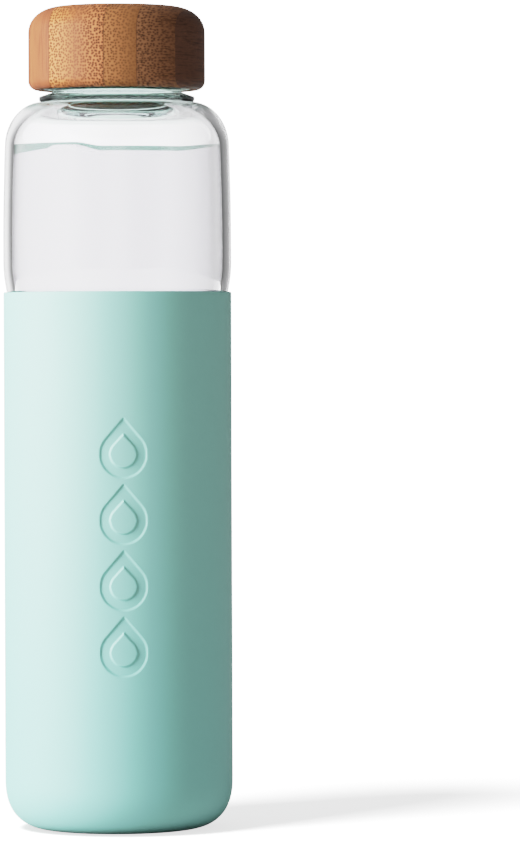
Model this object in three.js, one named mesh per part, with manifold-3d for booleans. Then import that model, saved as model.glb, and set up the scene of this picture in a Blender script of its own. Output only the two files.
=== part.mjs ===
// A reusable glass water bottle: a glass body that slides into a silicone sleeve, closed by a
// screw cap turned from laminated bamboo, with a threaded plastic insert and a seal ring.
//
// Millimetres, +Z up. The origin is the centre of the sleeve's base, on the surface it stands on,
// and the front of the bottle, with the column of drops, faces -Y.

import * as THREE from 'three';
import { mergeVertices } from 'three/addons/utils/BufferGeometryUtils.js';
import Module from 'manifold-3d';

const wasm = await Module();
wasm.setup();

// ---- Overall sizes -----------------------------------------------------------------------------

const BOTTLE_HEIGHT = 271;
const BODY_DIAMETER = 75;
const FIT_GAP = 0.3;

// ---- Silicone sleeve ---------------------------------------------------------------------------

const SLEEVE_WALL = 1.7;
const SLEEVE_BASE = 2;
const SLEEVE_CORNER_WIDTH = 15.5;
const SLEEVE_CORNER_HEIGHT = 16.5;
const CORNER_EXPONENT = 2.4;
const FOOT_WIDTH = 9;
const FOOT_HEIGHT = 0.6;
const LIP_CHAMFER = 0.2;

const DROP_COUNT = 4;
const DROP_PITCH = 21.4;
const DROP_RADIUS = 7.6;
const DROP_TIP = 11.6;
const RAISED_RADIUS = 4.4;
const RAISED_TIP = 6.5;
const DROP_DEPTH = 0.5;
const DROP_COLUMN_RISE = 3.6;

// ---- Glass body --------------------------------------------------------------------------------

const GLASS_WALL = 2.85;
const GLASS_FLOOR = 6.7;
const PUNT_HEIGHT = 3;
const PUNT_INSET = 4;
const EXPOSED_GLASS = 47.5;
const FLARE_BELOW_LIP = 8.4;
const FLARE_ABOVE_LIP = 9.6;
const BELLY_TAPER = 0.6;
const BELLY_RISE = 32;
const SHOULDER_HEIGHT = 14.9;
const SHOULDER_WALL = 1.5;

const NECK_DIAMETER = 42.4;
const BEAD_REACH = 4.4;
const BEAD_SLOPE = 1.5;
const BEAD_EDGE = 1.1;
const BEAD_UNDERCUT = 0.7;
const BEAD_TO_CAP = 0.8;
const NECK_ROOT = 3;
const RIM_ROUND = 1.5;

// ---- Screw thread, single start, right-handed --------------------------------------------------

const THREAD_PITCH = 5;
const THREAD_TURNS = 1.25;
const THREAD_FADE = 30;
const THREAD_FLANK_GAP = 0.4;
const THREAD_EMBED = 0.3;
const THREAD_END_DEPTH = 0.1;
const GLASS_THREAD_DEPTH = 1.2;
const GLASS_THREAD_BASE = 2.2;
const GLASS_THREAD_CREST = 1;
const GLASS_THREAD_DROP = 2.4;
const INSERT_THREAD_BASE = 2;
const INSERT_THREAD_CREST = 0.8;
const INSERT_THREAD_RISE = 2.4;
const THREAD_CLEARANCE = 0.4;

// ---- Bamboo cap, insert and seal ---------------------------------------------------------------

const CAP_HEIGHT = 27.8;
const CAP_WALL = 4.4;
const CAP_TOP_WALL = 7;
const CAP_CROWN = 0.4;
const CAP_EDGE_WIDTH = 11.6;
const CAP_EDGE_HEIGHT = 9.1;
const CAP_EDGE_EXPONENT = 2.2;
const CAP_FOOT_ROUND = 3;
const STRIP_WIDTH = 10;
const STRIP_GLUE = 0.1;
const GRAIN_ANGLE = -21;
const BAMBOO_COLOUR = 0xc08b55;
const BAMBOO_SHADES = [0.03, -0.02];
const INSERT_WALL = 1.6;
const INSERT_TOP = 1.2;
const SEAL_THICKNESS = 1.8;
const SEAL_REACH_IN = 1.5;

// ---- Fineness ----------------------------------------------------------------------------------

const SEGMENTS = 40;
const CORNER_STEPS = 5;
const CURVE_STEPS = 4;
const ROUND_STEPS = 3;
const DROP_SEGMENTS = 14;
const MERGE_TOLERANCE = 1e-4;
// The threads' steps fall between the walls' edges, so that no edge runs along another.
const THREAD_OFFSET = Math.PI / SEGMENTS;

// ---- Places that follow from the sizes ---------------------------------------------------------

const bodyRadius = BODY_DIAMETER / 2;
const waistRadius = bodyRadius - SLEEVE_WALL - FIT_GAP;
const cornerRadius = bodyRadius - SLEEVE_CORNER_WIDTH;
const glassBase = SLEEVE_BASE + FIT_GAP;

const capBottom = BOTTLE_HEIGHT - CAP_HEIGHT;
const beadTop = capBottom - BEAD_TO_CAP;
const beadEdgeTop = beadTop - BEAD_SLOPE;
const beadEdgeBottom = beadEdgeTop - BEAD_EDGE;
const shoulderTop = beadEdgeBottom - BEAD_UNDERCUT;
const shoulderBase = shoulderTop - SHOULDER_HEIGHT;
const sleeveTop = shoulderBase - EXPOSED_GLASS;
const flareBottom = sleeveTop - FLARE_BELOW_LIP;
const flareTop = sleeveTop + FLARE_ABOVE_LIP;

const neckRadius = NECK_DIAMETER / 2;
const boreRadius = neckRadius - GLASS_WALL;
const beadRadius = neckRadius + BEAD_REACH;
const glassThreadCrest = neckRadius + GLASS_THREAD_DEPTH;
const insertBore = glassThreadCrest + THREAD_CLEARANCE;
const insertRadius = insertBore + INSERT_WALL;
const insertThreadCrest = neckRadius + THREAD_CLEARANCE;
const recessRadius = insertRadius + FIT_GAP;
const capRadius = recessRadius + CAP_WALL;

const recessTop = BOTTLE_HEIGHT - CAP_TOP_WALL;
const insertTop = recessTop - FIT_GAP;
const insertCeiling = insertTop - INSERT_TOP;
const insertBottom = capBottom + FIT_GAP;
const sealTop = insertCeiling - FIT_GAP;
const sealBottom = sealTop - SEAL_THICKNESS;
const rimTop = sealBottom - FIT_GAP;

// ---- Curves ------------------------------------------------------------------------------------

const point = (radius, height) => new THREE.Vector2(radius, height);

/** Quarter of a superellipse, from straight above or below its centre out to its side. */
function quarter(radius, height, width, rise, steps, exponent = 2) {
  const power = 2 / exponent;
  return Array.from({ length: steps + 1 }, (_, i) => {
    const turn = (i / steps) * (Math.PI / 2);
    // The ends are written exactly, so that neighbouring pieces of outline meet.
    const out = i === steps ? 1 : Math.sin(turn) ** power;
    const up = i === steps ? 0 : Math.cos(turn) ** power;
    return point(radius + width * out, height + rise * up);
  });
}

/** Radius of the glass where it swells from the sleeve's waist to the belly. */
function flareRadius(height) {
  const share = (height - flareBottom) / (flareTop - flareBottom);
  return waistRadius + ((bodyRadius - waistRadius) * (1 - Math.cos(Math.PI * share))) / 2;
}

/** The swelling as an outline, from one height to another, moved outwards by an offset. */
function flare(from, to, offset) {
  return Array.from({ length: CURVE_STEPS + 1 }, (_, i) => {
    const height = from + ((to - from) * i) / CURVE_STEPS;
    return point(flareRadius(height) + offset, height);
  });
}

/** The belly, which narrows a little on its way up to the shoulder. */
function belly(offset) {
  return Array.from({ length: ROUND_STEPS }, (_, i) => {
    const share = (i + 1) / ROUND_STEPS;
    const height = shoulderBase - BELLY_RISE * (1 - share);
    const narrowing = BELLY_TAPER * (1 - Math.cos((share * Math.PI) / 2));
    return point(bodyRadius - narrowing + offset, height);
  });
}

// ---- Solids ------------------------------------------------------------------------------------

/** A closed three.js geometry as a solid that can be joined and cut. */
function solid(geometry) {
  const bare = geometry.clone();
  for (const name of ['normal', 'uv']) {
    bare.deleteAttribute(name);
  }
  const merged = mergeVertices(bare, MERGE_TOLERANCE);
  const corners = merged.index.array;
  const kept = [];
  for (let i = 0; i < corners.length; i += 3) {
    const [a, b, c] = corners.slice(i, i + 3);
    // A triangle that a lathe folds flat on its axis has two corners in one place.
    if (a !== b && b !== c && c !== a) {
      kept.push(a, b, c);
    }
  }
  return new wasm.Manifold(new wasm.Mesh({
    numProp: 3,
    vertProperties: new Float32Array(merged.attributes.position.array),
    triVerts: new Uint32Array(kept),
  }));
}

/** A solid as a three.js geometry, with flat facets. */
function surface(body) {
  const mesh = body.getMesh();
  const geometry = new THREE.BufferGeometry();
  geometry.setAttribute('position', new THREE.BufferAttribute(mesh.vertProperties, 3));
  geometry.setIndex(new THREE.BufferAttribute(mesh.triVerts, 1));
  geometry.computeVertexNormals();
  return geometry;
}

/** The solid turned from an outline round the Z axis. */
function turned(outline) {
  return solid(new THREE.LatheGeometry(outline, SEGMENTS).rotateX(Math.PI / 2));
}

/** A helical ridge: a trapezoid swept round the Z axis, buried in its wall and fading at its ends. */
function threadRidge({ wall, crest, base, tip, startAngle, startHeight }) {
  const inward = Math.sign(wall - crest);
  const root = wall + inward * THREAD_EMBED;
  const steps = Math.round(THREAD_TURNS * SEGMENTS);
  const section = new THREE.Shape([
    new THREE.Vector2(-base / 2, 0),
    new THREE.Vector2(base / 2, 0),
    new THREE.Vector2(tip / 2, 1),
    new THREE.Vector2(-tip / 2, 1),
  ]);
  const ridge = new THREE.ExtrudeGeometry(section, { depth: 1, steps, bevelEnabled: false });
  const position = ridge.attributes.position;
  const sweep = THREAD_TURNS * 2 * Math.PI;
  const fade = THREE.MathUtils.degToRad(THREAD_FADE) / sweep;
  for (let i = 0; i < position.count; i += 1) {
    const along = position.getZ(i);
    const strength = Math.min(1, along / fade, (1 - along) / fade);
    const raised = THREAD_END_DEPTH + (Math.abs(crest - root) - THREAD_END_DEPTH) * strength;
    const depth = position.getY(i) * raised;
    const radius = root - inward * depth;
    const angle = startAngle + sweep * along;
    // The section is mirrored with the ridge's direction, so that its faces still point out.
    const across = -inward * position.getX(i);
    const height = startHeight + THREAD_PITCH * THREAD_TURNS * along + across;
    position.setXYZ(i, radius * Math.cos(angle), radius * Math.sin(angle), height);
  }
  return solid(ridge);
}

/** A drop with a round foot and a pointed top, as a prism that runs through the sleeve's front. */
function dropPrism(radius, tip, height) {
  const opening = Math.acos(radius / tip);
  const shape = new THREE.Shape();
  shape.moveTo(0, tip);
  shape.absarc(0, 0, radius, Math.PI / 2 - opening, Math.PI / 2 + opening, true);
  shape.closePath();
  const prism = new THREE.ExtrudeGeometry(shape, {
    depth: BODY_DIAMETER,
    bevelEnabled: false,
    curveSegments: DROP_SEGMENTS,
  });
  return solid(prism.rotateX(Math.PI / 2).translate(0, 0, height));
}

// ---- Pieces ------------------------------------------------------------------------------------

/** The sleeve's wall and base, with a low foot ring under it. */
function sleeveShell() {
  const footInner = cornerRadius - FOOT_WIDTH;
  const lipInner = flareRadius(sleeveTop) + FIT_GAP;
  const outside = quarter(cornerRadius, SLEEVE_CORNER_HEIGHT, SLEEVE_CORNER_WIDTH,
    -SLEEVE_CORNER_HEIGHT, CORNER_STEPS, CORNER_EXPONENT);
  const inside = quarter(cornerRadius, SLEEVE_CORNER_HEIGHT, SLEEVE_CORNER_WIDTH - SLEEVE_WALL,
    SLEEVE_BASE - SLEEVE_CORNER_HEIGHT, CORNER_STEPS, CORNER_EXPONENT);
  return turned([
    point(0, FOOT_HEIGHT),
    point(footInner - FOOT_HEIGHT, FOOT_HEIGHT),
    point(footInner, 0),
    ...outside,
    point(bodyRadius, sleeveTop - LIP_CHAMFER),
    point(bodyRadius - LIP_CHAMFER, sleeveTop),
    point(lipInner + LIP_CHAMFER, sleeveTop),
    ...flare(sleeveTop - LIP_CHAMFER, flareBottom, FIT_GAP),
    ...inside.reverse(),
    point(0, SLEEVE_BASE),
  ]);
}

/** What is cut from the sleeve's front for one sunk drop, which leaves a small raised one in it. */
function dropCut(height) {
  const floor = new THREE.CylinderGeometry(bodyRadius - DROP_DEPTH, bodyRadius - DROP_DEPTH,
    BOTTLE_HEIGHT, SEGMENTS).rotateX(Math.PI / 2).translate(0, 0, BOTTLE_HEIGHT / 2);
  const sunk = dropPrism(DROP_RADIUS, DROP_TIP, height);
  const raised = dropPrism(RAISED_RADIUS, RAISED_TIP, height);
  return sunk.subtract(raised).subtract(solid(floor));
}

function siliconeSleeve() {
  const middle = sleeveTop / 2 + DROP_COLUMN_RISE;
  let sleeve = sleeveShell();
  for (let i = 0; i < DROP_COUNT; i += 1) {
    const height = middle + (i - (DROP_COUNT - 1) / 2) * DROP_PITCH;
    sleeve = sleeve.subtract(dropCut(height));
  }
  return surface(sleeve);
}

/** The outside of the glass, from the middle of its base up to the rim. */
function glassOutside() {
  const cornerHeight = SLEEVE_CORNER_HEIGHT - glassBase;
  const puntRadius = cornerRadius - PUNT_INSET;
  return [
    ...quarter(0, glassBase, puntRadius, PUNT_HEIGHT, ROUND_STEPS),
    ...quarter(cornerRadius, SLEEVE_CORNER_HEIGHT, waistRadius - cornerRadius, -cornerHeight,
      CORNER_STEPS, CORNER_EXPONENT),
    ...flare(flareBottom, flareTop, 0),
    ...belly(0),
    ...quarter(beadRadius - BEAD_UNDERCUT, shoulderBase,
      bodyRadius - BELLY_TAPER - beadRadius + BEAD_UNDERCUT, SHOULDER_HEIGHT,
      CORNER_STEPS).reverse().slice(1),
    point(beadRadius, beadEdgeBottom),
    point(beadRadius, beadEdgeTop),
    point(neckRadius, beadTop),
  ];
}

/** The inside of the glass, from the rim down to the middle of its floor. */
function glassInside() {
  const floor = glassBase + GLASS_FLOOR;
  const rootRadius = boreRadius + NECK_ROOT;
  const bellyRadius = bodyRadius - BELLY_TAPER - GLASS_WALL;
  const vaultTop = shoulderTop - SHOULDER_WALL;
  const root = quarter(rootRadius, vaultTop + NECK_ROOT, -NECK_ROOT, -NECK_ROOT, ROUND_STEPS);
  return [
    ...root.reverse(),
    ...quarter(rootRadius, shoulderBase, bellyRadius - rootRadius, vaultTop - shoulderBase,
      CORNER_STEPS).slice(1),
    ...belly(-GLASS_WALL).reverse().slice(1),
    ...flare(flareTop, flareBottom, -GLASS_WALL),
    ...quarter(cornerRadius, SLEEVE_CORNER_HEIGHT, waistRadius - GLASS_WALL - cornerRadius,
      floor - SLEEVE_CORNER_HEIGHT, CORNER_STEPS, CORNER_EXPONENT).reverse(),
    point(0, floor),
  ];
}

/** The rim that the seal presses on, rounded from the neck's outside over to its bore. */
function glassRim() {
  const half = (neckRadius - boreRadius) / 2;
  const crown = boreRadius + half;
  return [
    ...quarter(crown, rimTop - RIM_ROUND, half, RIM_ROUND, ROUND_STEPS).reverse(),
    ...quarter(crown, rimTop - RIM_ROUND, -half, RIM_ROUND, ROUND_STEPS).slice(1),
  ];
}

const glassThreadHeight = rimTop - GLASS_THREAD_DROP - THREAD_PITCH * THREAD_TURNS;

function glassBottle() {
  const body = turned([...glassOutside(), ...glassRim(), ...glassInside()]);
  const thread = threadRidge({
    wall: neckRadius,
    crest: glassThreadCrest,
    base: GLASS_THREAD_BASE,
    tip: GLASS_THREAD_CREST,
    startAngle: THREAD_OFFSET,
    startHeight: glassThreadHeight,
  });
  return surface(body.add(thread));
}

/** The plastic cup glued into the cap, whose thread hooks under the thread of the glass. */
function threadInsert() {
  const cup = turned([
    point(0, insertCeiling),
    point(insertBore, insertCeiling),
    point(insertBore, insertBottom),
    point(insertRadius, insertBottom),
    point(insertRadius, insertTop),
    point(0, insertTop),
  ]);
  const flankWidth = (GLASS_THREAD_BASE + INSERT_THREAD_CREST) / 2 + THREAD_FLANK_GAP;
  const climb = insertBottom + INSERT_THREAD_RISE + flankWidth - glassThreadHeight;
  const step = THREAD_PITCH / SEGMENTS;
  const startStep = Math.round(climb / step);
  const thread = threadRidge({
    wall: insertBore,
    crest: insertThreadCrest,
    base: INSERT_THREAD_BASE,
    tip: INSERT_THREAD_CREST,
    startAngle: THREAD_OFFSET + (startStep * 2 * Math.PI) / SEGMENTS,
    startHeight: glassThreadHeight - flankWidth + startStep * step,
  });
  return surface(cup.add(thread));
}

function capSeal() {
  const inner = boreRadius - SEAL_REACH_IN;
  const outer = insertBore - THREAD_CLEARANCE;
  return surface(turned([
    point(inner, sealBottom),
    point(outer, sealBottom),
    point(outer, sealTop),
    point(inner, sealTop),
    point(inner, sealBottom),
  ]));
}

/** The cap as it is turned on the lathe, before it is seen as the strips it was glued from. */
function capBlank() {
  const edgeTop = BOTTLE_HEIGHT - CAP_CROWN;
  return turned([
    point(0, recessTop),
    point(recessRadius, recessTop),
    point(recessRadius, capBottom),
    ...quarter(capRadius - CAP_FOOT_ROUND, capBottom + CAP_FOOT_ROUND, CAP_FOOT_ROUND,
      -CAP_FOOT_ROUND, ROUND_STEPS),
    ...quarter(capRadius - CAP_EDGE_WIDTH, edgeTop - CAP_EDGE_HEIGHT, CAP_EDGE_WIDTH,
      CAP_EDGE_HEIGHT, CORNER_STEPS, CAP_EDGE_EXPONENT).reverse(),
    point(0, BOTTLE_HEIGHT),
  ]);
}

/** The part of the cap blank that one strip fills, at its distance from the axis. */
function bambooStrip(blank, offset) {
  const slab = new THREE.BoxGeometry(STRIP_WIDTH - STRIP_GLUE, BODY_DIAMETER, BOTTLE_HEIGHT);
  slab.translate(offset, 0, BOTTLE_HEIGHT).rotateZ(THREE.MathUtils.degToRad(GRAIN_ANGLE));
  return surface(blank.intersect(solid(slab)));
}

// ---- Assembly ----------------------------------------------------------------------------------

const bottle = new THREE.Group();

function addPiece(name, geometry, finish) {
  const mesh = new THREE.Mesh(geometry, new THREE.MeshStandardMaterial(finish));
  mesh.name = name;
  bottle.add(mesh);
}

addPiece('silicone_sleeve', siliconeSleeve(), { color: 0xa9ddd4, roughness: 0.6 });
addPiece('glass_bottle', glassBottle(), {
  color: 0xe6f2ef,
  roughness: 0.05,
  transparent: true,
  opacity: 0.4,
});
addPiece('seal_ring', capSeal(), { color: 0xf1f1ec, roughness: 0.5 });
addPiece('thread_insert', threadInsert(), { color: 0xe4e6e0, roughness: 0.45 });

const blank = capBlank();
const stripsEachSide = Math.ceil(capRadius / STRIP_WIDTH - 0.5);
for (let i = -stripsEachSide; i <= stripsEachSide; i += 1) {
  const shade = new THREE.Color(BAMBOO_COLOUR).offsetHSL(0, 0, BAMBOO_SHADES[Math.abs(i) % 2]);
  addPiece(`bamboo_strip_${i + stripsEachSide + 1}`, bambooStrip(blank, i * STRIP_WIDTH), {
    color: shade,
    roughness: 0.55,
  });
}

export default bottle;
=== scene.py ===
"""The looks of a reusable glass water bottle: mint silicone sleeve, clear glass, water, bamboo cap.

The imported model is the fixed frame. Each class below holds one sub-assembly's sizes and builds its
meshes in metres, round the bottle's axis, with the front of the bottle facing -Y.
"""

from __future__ import annotations

import logging
import math
from collections.abc import Callable, Iterable, Sequence
from dataclasses import dataclass, replace
from enum import Enum

import bmesh
import bpy
import numpy as np
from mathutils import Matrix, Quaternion, Vector

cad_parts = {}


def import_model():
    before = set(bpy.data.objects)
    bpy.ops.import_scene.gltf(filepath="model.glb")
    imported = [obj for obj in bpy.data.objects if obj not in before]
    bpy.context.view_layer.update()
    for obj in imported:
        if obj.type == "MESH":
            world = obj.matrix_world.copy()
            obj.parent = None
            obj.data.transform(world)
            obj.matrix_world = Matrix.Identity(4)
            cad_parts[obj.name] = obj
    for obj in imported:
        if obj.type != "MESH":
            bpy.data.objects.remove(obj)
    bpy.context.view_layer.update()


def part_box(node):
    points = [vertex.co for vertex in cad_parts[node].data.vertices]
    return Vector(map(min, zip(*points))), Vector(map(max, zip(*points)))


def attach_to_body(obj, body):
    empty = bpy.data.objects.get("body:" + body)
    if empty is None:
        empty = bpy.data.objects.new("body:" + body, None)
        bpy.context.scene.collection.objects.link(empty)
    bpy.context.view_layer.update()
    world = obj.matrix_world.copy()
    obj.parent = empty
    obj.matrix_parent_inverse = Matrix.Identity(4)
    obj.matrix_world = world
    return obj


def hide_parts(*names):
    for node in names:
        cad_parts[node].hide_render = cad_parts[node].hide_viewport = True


LOG = logging.getLogger("water_bottle")
MM = 0.001
NEAR = 0.01 * MM  # Radii closer than this belong to the same wall.
MERGE = 0.0001 * MM  # Corners closer than this are one corner.

Point = tuple[float, float]
Colour = tuple[float, float, float]
Grid = np.ndarray
Reshape = Callable[[Grid, Grid, Grid], tuple[Grid, Grid]]


class Rider(str, Enum):
    """The bodies of the frame that pieces ride on."""

    SLEEVE = "sleeve"
    BOTTLE = "bottle"
    SEAL = "seal"
    CAP = "cap"


class Slot(str, Enum):
    """The record's material slots."""

    SLEEVE = "sleeve_silicone"
    GLASS = "clear_glass"
    SEAL = "seal_silicone"
    INSERT = "insert_plastic"
    BAMBOO = "bamboo"


class LampKind(str, Enum):
    """The kinds of lamp in the studio."""

    SUN = "SUN"
    AREA = "AREA"


# ---- Shader maths --------------------------------------------------------------------------------


class Socket:
    """A node's output that takes part in Python expressions, each of which adds its node."""

    def __init__(self, nodes: Nodes, link: bpy.types.NodeSocket, is_vector: bool = False) -> None:
        """Wraps an output socket.

        Args:
            nodes: The node tree that the socket belongs to.
            link: The output socket.
            is_vector: True if it carries a vector, so that maths uses Vector Math.
        """
        self.nodes = nodes
        self.link = link
        self.is_vector = is_vector

    def _math(self, operation: str, *others: Socket | float) -> Socket:
        """A Math node on this socket and the others."""
        values = {0: self, **{i + 1: other for i, other in enumerate(others)}}
        return self.nodes.node("ShaderNodeMath", {"operation": operation}, values)

    def _vector_math(self, operation: str, other: Socket | Sequence[float]) -> Socket:
        """A Vector Math node on this socket and another vector."""
        values = {0: self, 1: other}
        made = self.nodes.node("ShaderNodeVectorMath", {"operation": operation}, values)
        return Socket(self.nodes, made.link, is_vector=True)

    def __add__(self, other: Socket | float | Sequence[float]) -> Socket:
        """The sum, as numbers or as vectors."""
        return self._vector_math("ADD", other) if self.is_vector else self._math("ADD", other)

    def __sub__(self, other: Socket | float) -> Socket:
        """The difference of two numbers."""
        return self._math("SUBTRACT", other)

    def __mul__(self, other: Socket | float | Sequence[float]) -> Socket:
        """The product, as numbers or as vectors."""
        if self.is_vector:
            return self._vector_math("MULTIPLY", other)
        return self._math("MULTIPLY", other)

    def __truediv__(self, other: Socket | float) -> Socket:
        """The quotient of two numbers."""
        return self._math("DIVIDE", other)

    def _math_from(self, operation: str, other: float) -> Socket:
        """A Math node on a number and this socket."""
        return self.nodes.node("ShaderNodeMath", {"operation": operation}, {0: other, 1: self})

    def __rsub__(self, other: float) -> Socket:
        """A number less this socket."""
        return self._math_from("SUBTRACT", other)

    def __rtruediv__(self, other: float) -> Socket:
        """A number divided by this socket."""
        return self._math_from("DIVIDE", other)

    __radd__ = __add__
    __rmul__ = __mul__

    def smooth(self, low: float, high: float) -> Socket:
        """A soft step that is 0 at low and 1 at high; high may be the smaller."""
        inputs = {"Value": self, "From Min": low, "From Max": high}
        return self.nodes.node("ShaderNodeMapRange", {"interpolation_type": "SMOOTHSTEP"}, inputs)


class Nodes:
    """A node tree, with one method that makes its nodes."""

    def __init__(self, tree: bpy.types.NodeTree) -> None:
        """Takes over a node tree and empties it."""
        self.tree = tree
        tree.nodes.clear()

    def node(self, kind: str, settings: dict, inputs: dict, output: int | str = 0) -> Socket:
        """Adds one node.

        Args:
            kind: The node's type.
            settings: Its properties, set first; "stops" fills a colour ramp.
            inputs: A value or a Socket for each input, by name or number.
            output: The output to hand back.

        Returns:
            The wrapped output socket.
        """
        made = self.tree.nodes.new(kind)
        for name, value in settings.items():
            if name == "stops":
                self.fill_ramp(made.color_ramp, value)
            else:
                setattr(made, name, value)
        for name, value in inputs.items():
            self.feed(made.inputs[name], value)
        return Socket(self, made.outputs[output])

    @staticmethod
    def fill_ramp(ramp: bpy.types.ColorRamp, stops: Sequence[tuple[float, Colour]]) -> None:
        """Sets a colour ramp's stops.

        Args:
            ramp: The ramp.
            stops: A position from 0 to 1 and a colour for each stop, in order.
        """
        while len(ramp.elements) < len(stops):
            ramp.elements.new(1.0)
        for element, (position, colour) in zip(ramp.elements, stops):
            element.position = position
            element.color = (*colour, 1.0)

    def feed(self, target: bpy.types.NodeSocket, value: Socket | float | Sequence[float]) -> None:
        """Links a Socket to an input, or sets the input's own value.

        Args:
            target: The input.
            value: What goes into it; a colour may leave out its alpha.
        """
        if isinstance(value, Socket):
            self.tree.links.new(value.link, target)
        elif isinstance(value, (int, float)):
            target.default_value = value
        elif len(value) < len(target.default_value):
            target.default_value = (*value, 1.0)
        else:
            target.default_value = tuple(value)

    def place(self) -> Socket:
        """The point's place in the bottle's frame, in metres."""
        made = self.node("ShaderNodeTexCoord", {}, {}, "Object")
        return Socket(self, made.link, is_vector=True)

    def parts(self, vector: Socket) -> tuple[Socket, Socket, Socket]:
        """A vector's three numbers."""
        outputs = self.node("ShaderNodeSeparateXYZ", {}, {0: vector}).link.node.outputs
        return Socket(self, outputs[0]), Socket(self, outputs[1]), Socket(self, outputs[2])

    def joined(self, x: Socket | float, y: Socket | float, z: Socket | float) -> Socket:
        """A vector from three numbers."""
        made = self.node("ShaderNodeCombineXYZ", {}, {0: x, 1: y, 2: z})
        return Socket(self, made.link, is_vector=True)

    def noise(self, where: Socket, size: float, detail: float = 3.0, rough: float = 0.5) -> Socket:
        """Noise from 0 to 1 whose blobs are about one size, in metres, across."""
        inputs = {"Vector": where, "Scale": 1 / size, "Detail": detail, "Roughness": rough}
        return self.node("ShaderNodeTexNoise", {}, inputs)

    def mixed(
        self, share: Socket | float, first: Socket | Colour, second: Socket | Colour
    ) -> Socket:
        """A colour between two colours.

        Args:
            share: How much of the second colour there is, from 0 to 1.
            first: The colour at 0.
            second: The colour at 1.

        Returns:
            The mixed colour.
        """
        made = self.tree.nodes.new("ShaderNodeMix")
        made.data_type = "RGBA"
        for name, value in (("Factor_Float", share), ("A_Color", first), ("B_Color", second)):
            self.feed(next(i for i in made.inputs if i.identifier == name), value)
        return Socket(self, next(o for o in made.outputs if o.identifier == "Result_Color"))

    def bump(self, height: Socket, distance: float) -> Socket:
        """A normal bent by a height from 0 to 1 that stands for a distance in metres."""
        inputs = {"Height": height, "Distance": distance, "Strength": 1.0}
        return self.node("ShaderNodeBump", {}, inputs)

    def end_in(self, kind: str, surface: Socket) -> None:
        """Adds the tree's output node, which shows a surface."""
        output = self.tree.nodes.new(kind)
        self.feed(output.inputs["Surface"], surface)


class Shader(Nodes):
    """A material's nodes, with a Principled surface that a finish fills in."""

    def __init__(self, name: str) -> None:
        """Makes a material with its Principled shader wired to the output.

        Args:
            name: The material's name.
        """
        self.material = bpy.data.materials.new(name)
        self.material.use_nodes = True
        super().__init__(self.material.node_tree)
        surface = self.node("ShaderNodeBsdfPrincipled", {}, {})
        self.surface = surface.link.node
        self.end_in("ShaderNodeOutputMaterial", surface)

    def dress(self, **values: Socket | float | Sequence[float]) -> bpy.types.Material:
        """Fills the Principled shader's inputs.

        Args:
            **values: Input names, with _ for a space, and what goes into them.

        Returns:
            The finished material.
        """
        for name, value in values.items():
            self.feed(self.surface.inputs[name.replace("_", " ")], value)
        return self.material


# ---- Finishes ------------------------------------------------------------------------------------


@dataclass(frozen=True)
class SiliconeFinish:
    """Soft moulded silicone: an even colour, a dusty sheen and a fine matte grain."""

    name: str
    colour: Colour
    shade: Colour
    roughness: float
    # Painted shade and bounce light: an optional darker, more saturated colour that fades in towards
    # the foot from the height below.
    foot_shade_and_bounce: Colour | None = None
    foot_shade_height: float = 0.16
    grain: float = 0.35 * MM
    grain_depth: float = 0.012 * MM
    cloud: float = 30 * MM
    cloud_share: float = 0.35
    wipe: float = 10 * MM
    wipe_share: float = 0.12

    def material(self) -> bpy.types.Material:
        """Makes the silicone, painted darker and more saturated towards the bottle's foot as shade
        and bounce light.

        Returns:
            The material.
        """
        shader = Shader(self.name)
        place = shader.place()
        cloud = shader.noise(place, self.cloud, 4.0)
        grain = shader.noise(place, self.grain, 2.0, 0.6)
        wipe = shader.noise(place * (1.0, 1.0, 0.25), self.wipe)
        colour = shader.mixed(cloud * self.cloud_share, self.colour, self.shade)
        # Painted shade and bounce light, darker and more saturated towards the foot.
        if self.foot_shade_and_bounce is not None:
            low = shader.parts(place)[2].smooth(self.foot_shade_height, 0.0)
            colour = shader.mixed(low, colour, self.foot_shade_and_bounce)
        return shader.dress(
            Base_Color=colour,
            Roughness=wipe * self.wipe_share + (self.roughness - self.wipe_share / 2),
            Normal=shader.bump(grain, self.grain_depth),
            Sheen_Weight=0.06,
            Sheen_Roughness=0.45,
            Specular_IOR_Level=0.42,
        )


@dataclass(frozen=True)
class GlassFinish:
    """Clear moulded glass with the faint waves of its mould, darker and greener where it is
    thickest, partly as painted shade.
    """

    name: str
    colour: Colour
    ior: float
    # A tint between two heights: partly the colour of thicker glass, partly painted shade under the
    # cap.
    thick_tint_and_shade: Colour | None = None
    thick_and_shade_span: tuple[float, float] = (0.0, 0.0)
    thick_and_shade_fade: float = 1 * MM
    wave: float = 14 * MM
    wave_depth: float = 0.02 * MM
    wave_tint: float = 0.01

    def material(self) -> bpy.types.Material:
        """Makes the glass, darker and greener between the two heights of its span: thicker glass and
        painted shade.

        Returns:
            The material.
        """
        shader = Shader(self.name)
        place = shader.place()
        wave = shader.noise(place * (1.0, 1.0, 0.5), self.wave, 1.0)
        paler = tuple(min(1.0, c + self.wave_tint) for c in self.colour)
        tint = shader.mixed(wave, self.colour, paler)
        # Thicker glass, partly painted shade under the cap: darker and greener over the span.
        if self.thick_tint_and_shade is not None:
            height, (low, high) = shader.parts(place)[2], self.thick_and_shade_span
            above = height.smooth(low, low + self.thick_and_shade_fade)
            below = height.smooth(high + self.thick_and_shade_fade, high)
            tint = shader.mixed(above * below, tint, self.thick_tint_and_shade)
        return shader.dress(
            Base_Color=tint,
            Roughness=0.0,
            IOR=self.ior,
            Transmission_Weight=1.0,
            Normal=shader.bump(wave, self.wave_depth),
        )


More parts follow.
